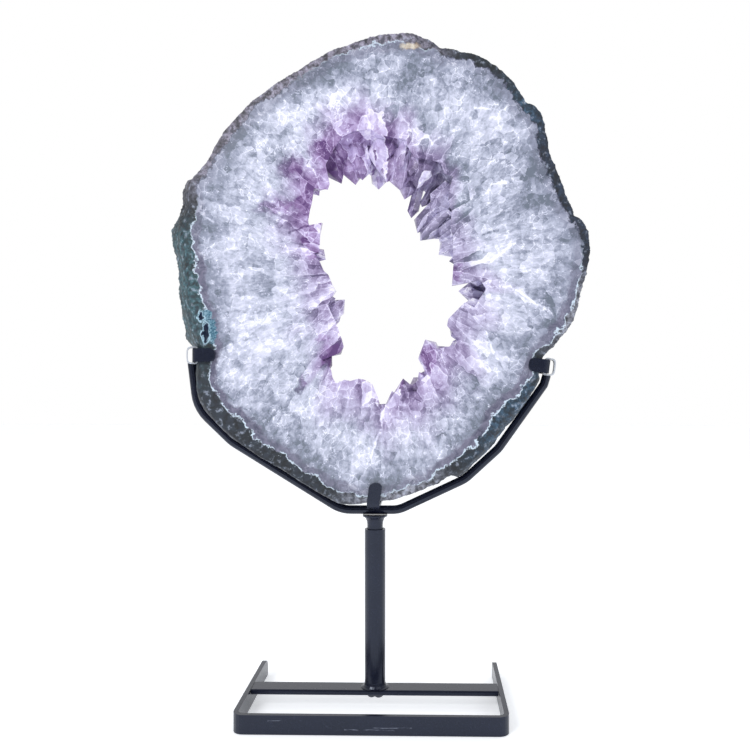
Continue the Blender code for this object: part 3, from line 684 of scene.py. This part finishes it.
def rough_skin():
    """The uncut outside: green and grey at the left, navy at the right, grey-brown at the top."""
    g = Graph("rough_skin")
    m = slice_map(g)
    point = m["point"]
    x, _, z = g.split(point)
    patches = g.noise(point, 7, 5, 0.66)
    lumps = g.noise(point, 3.2, 4, 0.7)
    left = g.step(g.plus(x, centered(g, patches, 60.0)), -74.0, -112.0)
    body = g.mix(g.step(patches, 0.42, 0.62), m["tint"], stone("stain"))
    greens = stone_stops((0.4, "deep green"), (0.47, "green"), (0.53, "ice"), (0.6, "blue"))
    body = g.mix(g.times(left, 0.9), body, g.colors(patches, greens))
    # Painted shade in the hollows between lumps, and painted highlights on the lumps' tops
    body = g.mix(g.times(g.step(lumps, 0.5, 0.4), 0.85), body, stone("pit"))
    body = g.mix(g.times(g.step(lumps, 0.54, 0.63), 0.75), body, stone("lump highlight"))
    # Darker towards the bottom: the underside is painted nearly black at the left as shade, and brownish,
    # its own colour, at the right
    low = g.step(z, 236.0, 190.0, 0.0, 0.86)
    body = g.mix(low, body, g.mix(g.step(x, 20.0, 50.0), stone("black"), stone("earth")))
    # Pale crust along the left front edge
    by_edge = g.plus(m["depth"], centered(g, patches, 0.12))
    crust = g.times(left, g.step(by_edge, 0.28, 0.1), g.step(lumps, 0.44, 0.51))
    body = g.mix(crust, body, stone("crust"))
    g.bump(g.plus(patches, lumps), 3.2)
    return g.finish(Base_Color=body, Roughness=g.plus(g.times(lumps, 0.3), 0.5))


def clear_amethyst():
    """See-through purple crystal, cloudier and paler in places."""
    g = Graph("clear_amethyst")
    point = g.position()
    veil = g.noise(point, 7, 4, 0.62)
    speck = g.step(g.noise(point, 1.4, 2, 0.6), 0.35, 0.27)
    purples = ((0.34, srgb(198, 162, 218)), (0.5, srgb(226, 202, 240)), (0.66, srgb(250, 244, 255)))
    body = g.mix(g.times(speck, 0.6), g.colors(veil, purples), srgb(112, 84, 148))
    g.bump(g.noise(point, 2.5, 2), 0.05, 0.4)
    absorb = g.add("VolumeAbsorption", {"Color": (0.64, 0.38, 0.76, 1.0), "Density": 24.0})
    g.feed(g.tree.nodes["Material Output"].inputs["Volume"], absorb.outputs[0])
    return g.finish(Base_Color=body, Roughness=0.05, IOR=1.54, Transmission_Weight=0.44)


def painted_steel():
    """Black satin paint with a blue cast, a fine orange peel and light scuffs."""
    g = Graph("painted_steel")
    point = g.position()
    body = g.mix(g.noise(point, 25, 3), srgb(8, 11, 26), srgb(14, 19, 40))
    flecks = g.step(g.noise(point, 0.8, 3, 0.7), 0.56, 0.72)
    body = g.mix(g.times(flecks, 0.14), body, srgb(84, 92, 118))
    # Dust and rubs, in long marks along the bars
    scuff = g.step(g.noise(g.vector("MULTIPLY", point, (0.25, 1, 1)), 1.1, 4, 0.75), 0.64, 0.8)
    body = g.mix(g.times(scuff, 0.36), body, srgb(112, 120, 144))
    rubbed = g.noise(g.vector("MULTIPLY", point, (0.35, 1, 3)), 1.6, 3, 0.6)
    scratch = g.times(lines(g, point, SCRATCHES, 0.5), g.step(rubbed, 0.44, 0.66))
    on_bar = g.step(g.split(point)[1], *FRONT_BAR_Y)
    body = g.mix(g.times(scratch, on_bar), body, srgb(118, 124, 140))
    g.bump(g.noise(point, 0.9, 2), 0.06, 0.6)
    rough = g.plus(g.times(g.noise(point, 4, 3), 0.14), 0.18)
    return g.finish(Base_Color=body, Roughness=rough, Specular_Tint=(0.76, 0.84, 1, 1))


def clear_vinyl():
    """Clear soft sleeve, a little milky."""
    g = Graph("clear_vinyl")
    point = g.position()
    body = g.mix(g.noise(point, 5, 3), srgb(188, 194, 204), srgb(214, 219, 228))
    g.bump(g.noise(point, 2, 2), 0.1, 0.5)
    return g.finish(Base_Color=body, Roughness=0.3, IOR=1.2, Transmission_Weight=0.3)


def rock(point, size, octaves=4):
    """Rough relief of about -1 to 1 whose lumps are about size mm."""
    return noise.fractal(point / size, 0.9, 2.1, octaves, noise_basis="PERLIN_ORIGINAL")


def rod_gaps(angles):
    """Distance in mm from the slice's middle to the near side of the rod, or 0 where there is none."""
    tree = mesh_tree(NODES["cradle_rod"])
    middle = Vector((CENTER[0] * MM, POST_Y, CENTER[1] * MM))
    hits = [tree.ray_cast(middle, Vector((math.cos(a), 0, math.sin(a))))[0] for a in angles]
    return [0 if hit is None else (hit - middle).length / MM for hit in hits]


def skin_rows(angles):
    """Radii in mm of the rough skin, one row for each step from the front face to the back face."""
    depths = [0.5 - 0.5 * math.cos(math.pi * k / SKIN_STEPS) for k in range(SKIN_STEPS + 1)]
    clips = []
    for name in ("left_clip", "right_clip"):
        low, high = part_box(name)
        clips.append((Vector(low) + Vector(high)) / 2)
    low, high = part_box("center_hook")
    clips.append(Vector(((low.x + high.x) / 2, POST_Y, low.z)))
    rods = rod_gaps(angles)
    snug = np.interp(np.degrees(angles), *zip(*SNUG_BELOW))
    rows = []
    for depth in depths:
        y = FRONT_Y + depth * THICK
        row = slab_radii(angles, y, True)
        inside = math.sin(math.pi * depth) ** 0.5
        for k, angle in enumerate(angles):
            point = place(angle, row[k], y) / MM
            nearest = min(math.hypot(point.x - c.x / MM, point.z - c.z / MM) for c in clips)
            free = min(1.0, max(0.0, (nearest - CLIP_PAD) / CLIP_REACH))
            relief = EDGE_RELIEF + (SKIN_RELIEF - EDGE_RELIEF) * inside
            rough = rock(point, LUMP_SIZE) * 0.7 + abs(rock(point, PIT_SIZE, 3)) * 0.9 - 0.35
            row[k] += rough * relief * (LEAST_RELIEF + (1 - LEAST_RELIEF) * free)
            if rods[k]:
                # The stone nearly rests on most of the rod, and never goes into it
                room = min(rods[k] - ROD_CLEARANCE - row[k], MOST_SNUG)
                row[k] += room * (snug[k] * inside if room > 0 else 1.0)
            fits = [1.0]
            for low, high, middle, way in (
                (SLICE_LOW.x, SLICE_HIGH.x, CENTER[0], math.cos(angle)),
                (SLICE_LOW.z, SLICE_HIGH.z, CENTER[1], math.sin(angle)),
            ):
                if abs(way) > 0.001:
                    fits.append(((high if way > 0 else low) / MM - middle) / way / row[k])
            row[k] *= min(fits)
            for (x, z), cut in RIM_CHIPS:
                away = math.hypot(point.x - x, point.z - z)
                row[k] -= cut * max(0.0, 1 - away / CHIP_REACH) * (1 - depth) ** 2
        rows.append((y, row))
    return rows


def pocket_depth(point):
    """How deep in mm the pockets go at a point of the front rim."""
    deepest = 0.0
    for (x, z), (across, up), cut in POCKETS:
        away = ((point.x / MM - x) / across) ** 2 + ((point.z / MM - z) / up) ** 2
        deepest = max(deepest, cut * max(0.0, 1 - away))
    return deepest


def slab_mesh():
    """The slab: skin, both polished faces and the wall of the hollow, as rings joined in order."""
    angles = around(AROUND)
    rows = skin_rows(angles)

    def face_rings(y, outer, hollow, rims):
        """Rings of a flat face from its rim inward: at the rims' distances in mm, then evenly."""
        made = []
        for rim in rims:
            made.append((outer - np.minimum(rim, (outer - hollow) * 0.8), y))
        last = made[-1][0]
        for k in range(1, FACE_ROWS + 1):
            made.append((last + (hollow - last) * k / FACE_ROWS, y))
        return made

    front_hollow = slab_radii(angles, FRONT_Y, False)
    back_hollow = slab_radii(angles, BACK_Y, False)
    front = face_rings(FRONT_Y, rows[0][1], front_hollow, RIM_ROWS)
    back = face_rings(BACK_Y, rows[-1][1], back_hollow, BACK_ROWS)
    rings = [(radius, y, False) for radius, y in reversed(front)]
    rings += [(radius, y, True) for y, radius in rows[1:-1]]
    rings += [(radius, y, False) for radius, y in back]
    bm = bmesh.new()
    grid = [[bm.verts.new(point) for point in ring(angles, radius, y)] for radius, y, _ in rings]
    for row in grid[:len(front)]:
        for vert in row:
            vert.co.y += pocket_depth(vert.co) * MM
    for k, low in enumerate(grid):
        after = (k + 1) % len(grid)
        high = grid[after]
        is_skin = rings[k][2] or rings[after][2]
        for i in range(AROUND):
            j = (i + 1) % AROUND
            bm.faces.new((low[i], low[j], high[j], high[i])).material_index = int(is_skin)
    return mesh_from(bm, "agate_slab")


def ring_body(name, rings):
    """A closed body that joins rings of points in order, and the last to the first."""
    bm = bmesh.new()
    rows = [[bm.verts.new(point) for point in points] for points in rings]
    count = len(rows[0])
    for k, low in enumerate(rows):
        high = rows[(k + 1) % len(rows)]
        for i in range(count):
            j = (i + 1) % count
            bm.faces.new((low[i], low[j], high[j]))
            bm.faces.new((low[i], high[j], high[i]))
    return mesh_from(bm, name)


def front_layer(rng):
    """The plate of cut crystals at the front: exact inner edge, whose walls slant as crystal faces do."""
    curve = bpy.data.curves.new("front_layer", "CURVE")
    curve.dimensions = "2D"
    curve.fill_mode = "BOTH"
    curve.extrude = FRONT_DEPTH / 2 * MM
    wide = around(180)
    wall = slab_radii(wide, FRONT_Y, False) + 1.0
    outer = [(CENTER[0] + r * math.cos(a), CENTER[1] + r * math.sin(a)) for a, r in zip(wide, wall)]
    for outline in (outer, FRONT_EDGE):
        spline = curve.splines.new("POLY")
        spline.points.add(len(outline) - 1)
        for target, (x, z) in zip(spline.points, outline):
            target.co = (x * MM, z * MM, 0, 1)
        spline.use_cyclic_u = True
    holder = new_object("front_layer", curve)
    mesh = evaluated_mesh(holder)
    bpy.data.objects.remove(holder, do_unlink=True)
    slants = {}
    bm = bmesh.new()
    bm.from_mesh(mesh)
    bmesh.ops.remove_doubles(bm, verts=bm.verts, dist=0.000001)
    for vert in bm.verts:
        x, z, back = vert.co.x / MM, vert.co.y / MM, vert.co.z > 0
        vert.co = Vector((vert.co.x, FRONT_Y - MM, vert.co.y))
        if not back:
            continue
        vert.co.y = FRONT_Y + FRONT_DEPTH * MM
        offset = Vector((x - CENTER[0], z - CENTER[1]))
        if min(math.dist((x, z), corner) for corner in FRONT_EDGE) < 0.1:
            key = (round(x), round(z))
            slants.setdefault(key, (rng.uniform(-0.5, 4.5), rng.uniform(-2, 2), rng.uniform(-3, 2)))
            out, aside, deeper = slants[key]
            along = offset.normalized()
            shift_x, shift_z = along.x * out - along.y * aside, along.y * out + along.x * aside
            vert.co += Vector((shift_x, deeper, shift_z)) * MM
    bmesh.ops.triangulate(bm, faces=bm.faces)
    bmesh.ops.recalc_face_normals(bm, faces=bm.faces)
    bm.to_mesh(mesh)
    bm.free()
    return mesh


def add_crystal(bm, base, tip, across, rng):
    """A six-sided crystal with a six-sided point, a little uneven as grown ones are."""
    length = (tip - base).length
    radius = across / 2 * MM
    point = min(across * rng.uniform(0.42, 0.6) * MM, length * 0.7)
    sizes = {"radius1": radius * 0.9, "radius2": radius, "depth": length - point}
    made = bmesh.ops.create_cone(bm, cap_ends=True, segments=6, **sizes)
    verts = made["verts"]
    bmesh.ops.translate(bm, verts=verts, vec=(0, 0, (length - point) / 2))
    top = max({face for vert in verts for face in vert.link_faces}, key=lambda f: f.calc_center_median().z)
    apex = bmesh.ops.poke(bm, faces=[top], offset=point)["verts"]
    apex[0].co.x += rng.uniform(-0.25, 0.25) * radius
    apex[0].co.y += rng.uniform(-0.25, 0.25) * radius
    turn = rng.uniform(0, math.pi / 3)
    for vert in verts:
        angle = math.atan2(vert.co.y, vert.co.x)
        if vert.co.z > (length - point) * 0.9:
            vert.co.z += radius * 0.25 * math.sin(angle + turn)
        vert.co.x *= 1 + 0.16 * math.sin(turn * 5)
    facing = (tip - base).to_track_quat("Z", "Y").to_matrix().to_4x4()
    matrix = Matrix.Translation(base) @ facing @ Matrix.Rotation(turn, 4, "Z")
    bmesh.ops.transform(bm, matrix=matrix, verts=verts + apex)


def crystal_groups(rng):
    """Groups of (base, tip, thickness) crystals. Those of one group stand apart from each other."""
    groups = []
    shown = [[], []]
    for k, ((x, y, z), across) in enumerate(SHOWN_CRYSTALS):
        tip = Vector((x * MM, FRONT_Y + y * MM, z * MM))
        outward = Vector((x - CENTER[0], 0, z - CENTER[1])).normalized()
        lean = Vector((rng.uniform(-0.2, 0.2), rng.uniform(-0.1, 0.25), 0))
        base = tip + (outward + lean) * SHOWN_LENGTH * MM
        shown[k % 2].append((base, tip, across * SHOWN_WIDENING))
    groups.extend(shown)
    for row, (depth, count, across) in enumerate(CRYSTAL_ROWS):
        first = 0.5 * (row % 2)
        angles = [2 * math.pi * (k + first + rng.uniform(-0.2, 0.2)) / count for k in range(count)]
        y = FRONT_Y + depth * THICK
        wall = slab_radii(angles, y, False)
        reach = polygon_radii(INNER_REACH, angles)
        sets = ([], [], [])
        for k, angle in enumerate(angles):
            base = place(angle, wall[k] - CRYSTAL_ROOT, y)
            inward = max(reach[k], wall[k] - LONGEST_LARGE) + rng.uniform(0.5, 5)
            tip = place(angle, inward, y + rng.uniform(-4, 4) * MM)
            aside = Vector((-math.sin(angle), 0, math.cos(angle))) * rng.uniform(-4, 4) * MM
            sets[k % 3].append((base, tip + aside, across * rng.uniform(0.75, 1.2)))
        groups.extend(sets)
    small = ([], [], [])
    for k in range(SMALL_CRYSTALS):
        angle = 2 * math.pi * (k + rng.uniform(-0.3, 0.3)) / SMALL_CRYSTALS
        y = FRONT_Y + THICK * rng.uniform(0.12, 0.95)
        wall = slab_radii([angle], y, False)[0]
        reach = polygon_radii(INNER_REACH, [angle])[0]
        inward = max(reach, wall - LONGEST_SMALL) + rng.uniform(1, 6)
        tip = place(angle, inward, y + rng.uniform(-5, 5) * MM)
        small[k % 3].append((place(angle, wall - CRYSTAL_ROOT, y), tip, rng.uniform(4, 8)))
    groups.extend(small)
    return groups


def join_body(target, mesh, operation):
    """Joins a mesh to target or cuts target by it, and removes the mesh."""
    cutter = new_object("cutter", mesh)
    modifier = target.modifiers.new("Join", "BOOLEAN")
    modifier.operation = operation
    modifier.solver = "MANIFOLD"
    modifier.object = cutter
    result = evaluated_mesh(target)
    target.modifiers.clear()
    old = target.data
    target.data = result
    bpy.data.meshes.remove(old)
    bpy.data.objects.remove(cutter, do_unlink=True)
    bpy.data.meshes.remove(mesh)


def crust_mesh():
    """All crystals of the hole grown together, cut flush with both faces of the slab."""
    rng = random.Random(SEED)
    angles = around(180)
    front = slab_radii(angles, FRONT_Y, False)
    back = slab_radii(angles, BACK_Y, False)
    first, last = FRONT_Y + 2 * MM, BACK_Y + CRUST_OVER * MM
    sides = ((front + 1, first), (back + 1, last), (back - CRUST_WALL, last), (front - CRUST_WALL, first))
    rings = [ring(angles, radius, y) for radius, y in sides]
    crust = new_object("crust", ring_body("crust", rings))
    join_body(crust, front_layer(rng), "UNION")
    for group in crystal_groups(rng):
        bm = bmesh.new()
        for base, tip, across in group:
            add_crystal(bm, base, tip, across, rng)
        join_body(crust, mesh_from(bm, "crystals"), "UNION")
    # The plug fills the hollow from face to face. Its rings keep its faces small
    wide = around(360)
    limit_front = slab_radii(wide, FRONT_Y, False) - WALL_GAP
    limit_back = slab_radii(wide, BACK_Y, False) - WALL_GAP
    shares = np.linspace(PLUG_START, 1, PLUG_ROWS)
    rings = [ring(wide, limit_front * share, FRONT_Y) for share in shares]
    rings += [ring(wide, limit_back * share, BACK_Y) for share in reversed(shares)]
    join_body(crust, ring_body("plug", rings), "INTERSECT")
    mesh = crust.data
    bpy.data.objects.remove(crust, do_unlink=True)
    keep_largest(mesh)
    return mesh


def keep_largest(mesh):
    """Drops what the Booleans leave beside the largest body, and sorts the faces by material."""
    bm = bmesh.new()
    bm.from_mesh(mesh)
    left = set(bm.faces)
    bodies = []
    while left:
        body, border = set(), [left.pop()]
        while border:
            face = border.pop()
            body.add(face)
            for edge in face.edges:
                for neighbour in edge.link_faces:
                    if neighbour in left:
                        left.remove(neighbour)
                        border.append(neighbour)
        bodies.append(body)
    bodies.sort(key=len)
    for body in bodies[:-1]:
        bmesh.ops.delete(bm, geom=list(body), context="FACES")
    for face in bm.faces:
        face.smooth = False
        middle = face.calc_center_median()
        x, z = middle.x / MM - CENTER[0], middle.z / MM - CENTER[1]
        from_face = min(abs(middle.y - FRONT_Y), abs(middle.y - BACK_Y))
        flat = abs(face.normal.y) > 0.999 and from_face < FLUSH * MM
        wall = math.hypot(x, z) > slab_radii([math.atan2(z, x)], middle.y, False)[0] - WALL_DEPTH
        face.material_index = 0 if flat or wall else 1
    bm.to_mesh(mesh)
    bm.free()


def make_camera():
    data = bpy.data.cameras.new("camera")
    data.lens = CAMERA_LENS
    data.sensor_width = 36
    data.shift_x, data.shift_y = CAMERA_SHIFT
    data.clip_start = 0.01
    camera = new_object("camera", data)
    camera.location = CAMERA_PLACE
    camera.rotation_euler = (math.pi / 2, 0, CAMERA_YAW)
    bpy.context.scene.camera = camera


def area_light(name, place_at, size, power):
    data = bpy.data.lights.new(name, "AREA")
    data.shape = "DISK"
    data.size = size
    data.energy = power
    light = new_object(name, data)
    light.location = place_at
    light.rotation_euler = (Vector(LAMP_AIM) - Vector(place_at)).to_track_quat("-Z", "Y").to_euler()


def studio():
    """White surroundings and floor, and two soft lights. Less light comes from the camera's side
    than from behind, so that dark paint and crystal faces keep their contrast."""
    g = Graph("studio", bpy.data.worlds, "Background")
    _, away, _ = g.split(g.add("TexCoord").outputs["Generated"])
    inputs = {"Value": away, "From Min": -1.0, "From Max": 1.0, "To Min": WORLD_FRONT, "To Max": 1.0}
    light = g.add("MapRange", inputs).outputs[0]
    light = g.math("MAXIMUM", light, g.add("LightPath").outputs["Is Camera Ray"])
    bpy.context.scene.world = g.finish(Color=(1, 1, 1, 1), Strength=light)
    bpy.context.scene.view_settings.view_transform = "Standard"
    for lamp in LAMPS:
        area_light(*lamp)
    bpy.ops.mesh.primitive_plane_add(size=FLOOR_SIZE, location=(0, 0, -FLOOR_DROP))
    floor = bpy.context.object
    floor.name = "floor"
    g = Graph("white_floor")
    look = {"Base_Color": FLOOR_COLOR, "Emission_Color": FLOOR_COLOR, "Emission_Strength": FLOOR_GLOW}
    floor.data.materials.append(g.finish(Roughness=0.7, **look))


def smooth_skin(mesh):
    """Shades the rough skin smooth and leaves the polished faces flat."""
    for polygon in mesh.polygons:
        polygon.use_smooth = polygon.material_index == 1


def main():
    make_camera()
    quartz, skin, amethyst = polished_quartz(), rough_skin(), clear_amethyst()
    steel, vinyl = painted_steel(), clear_vinyl()
    slab = new_piece("agate_slab", slab_mesh(), (quartz, skin), "cradle", ("agate_slice",))
    smooth_skin(slab.data)
    crust = crust_mesh()
    new_piece("amethyst_crystals", crust, (quartz, amethyst), "cradle", ("amethyst_crust",))
    for name, node in NODES.items():
        if name in ("agate_slice", "amethyst_crust"):
            continue
        node.data.materials.clear()
        node.data.materials.append(vinyl if name.endswith("sleeve") else steel)
    studio()


main()
